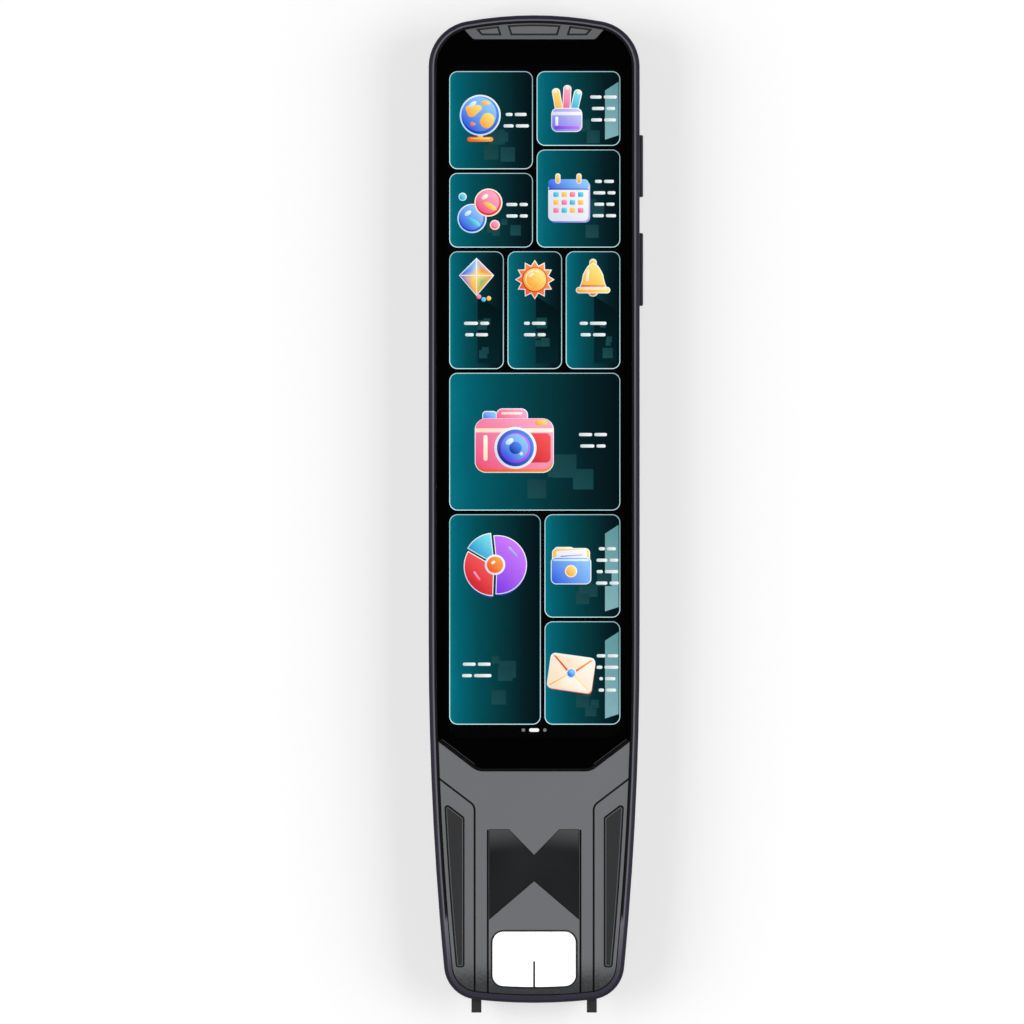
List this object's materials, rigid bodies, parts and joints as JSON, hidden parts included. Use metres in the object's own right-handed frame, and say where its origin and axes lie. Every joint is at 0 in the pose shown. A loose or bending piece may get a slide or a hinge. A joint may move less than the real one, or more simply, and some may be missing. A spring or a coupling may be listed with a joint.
{
  "type": "handheld translator",
  "caption": "Pen-shaped scanning translator with a tall touch display, see-through scanning tip, sprung tip trigger and side keys.",
  "frame": {"origin": "on the back's flat face, under the middle of the body's length and width", "axes": "+Z out of the display, +Y towards the top end, +X to the keys' side"},
  "size_m": [0.0366, 0.1703, 0.0121],
  "materials": {
    "case": "dark grey-blue moulded plastic, fine matt grain",
    "frame": "dark grey-blue, satin, soft rim",
    "cover_glass": "clear hardened cover glass, polished",
    "black_print": "black border printed on the back of the glass",
    "display": "display cell",
    "white_plastic": "white moulded plastic",
    "foam": "black closed-cell foam",
    "flex_tape": "amber flexible circuit",
    "trim": "grey satin plastic",
    "chin": "grey matt plastic, fine sparkle",
    "grip": "dark soft-touch inlay",
    "gloss_inlay": "dark glossy inlay",
    "window": "clear moulded pane",
    "chamber": "black, non-reflective",
    "circuit_board": "green solder mask",
    "trigger": "dark grey hard plastic",
    "bright_metal": "plain stamped or drawn steel",
    "key": "dark satin keys",
    "chip": "black moulded package",
    "battery": "foil pouch",
    "mesh": "fine black dust mesh",
    "dark_steel": "blackened steel screws"
  },
  "bodies": {
    "body": {"rear_cover": "case", "mid_frame": "frame", "front_glass": "cover_glass", "glass_border_print": "black_print", "display_panel": "display", "display_backlight": "white_plastic", "display_foam": "foam", "display_tape": "flex_tape", "top_trim": "trim", "trim_insert_left": "trim", "trim_insert_centre": "trim", "trim_insert_right": "trim", "lower_cover": "chin", "grip_inlay_left": "grip", "grip_inlay_right": "grip", "badge_inlay": "gloss_inlay", "window_front": "window", "window_rear": "window", "scan_pane": "window", "window_pointer": "trim", "scan_chamber": "chamber", "scan_board": "circuit_board", "camera_housing": "chamber", "camera_lens": "window", "light_guides": "window", "trigger_switch": "white_plastic", "tip_ribbon": "flex_tape", "trigger_springs": "bright_metal", "rocker_pin": "bright_metal", "key_board": "circuit_board", "key_switches": "bright_metal", "main_board": "circuit_board", "processor_shield": "bright_metal", "memory_chip": "chip", "wireless_module": "bright_metal", "antenna_strip": "flex_tape", "microphones": "bright_metal", "board_connectors": "white_plastic", "usb_shell": "bright_metal", "usb_tongue": "chip", "battery_cell": "battery", "battery_pad": "foam", "battery_tab": "flex_tape", "speaker_box": "chip", "speaker_mesh": "mesh", "speaker_contacts": "bright_metal", "case_screws": "dark_steel", "board_screws": "bright_metal"},
    "power_key": {"power_button": "key"},
    "volume_key": {"volume_rocker": "key"},
    "trigger": {"trigger_yoke": "trigger"}
  },
  "joints": [
    {"name": "power_press", "type": "slide", "parent": "body", "child": "power_key", "axis": [-1, 0, 0], "range_m": [0, 0.0003], "stiffness_N_per_m": 3000},
    {"name": "volume_tilt", "type": "hinge", "parent": "body", "child": "volume_key", "pos_m": [0.0153, 0.04095, 0.006], "axis": [0, 0, 1], "range_deg": [-2.2, 2.2], "stiffness_Nm_per_rad": 0.05},
    {"name": "trigger_press", "type": "slide", "parent": "body", "child": "trigger", "axis": [0, 1, 0], "range_m": [0, 0.001], "stiffness_N_per_m": 600, "springref_m": -0.0005, "deforming": ["trigger_springs"]}
  ]
}
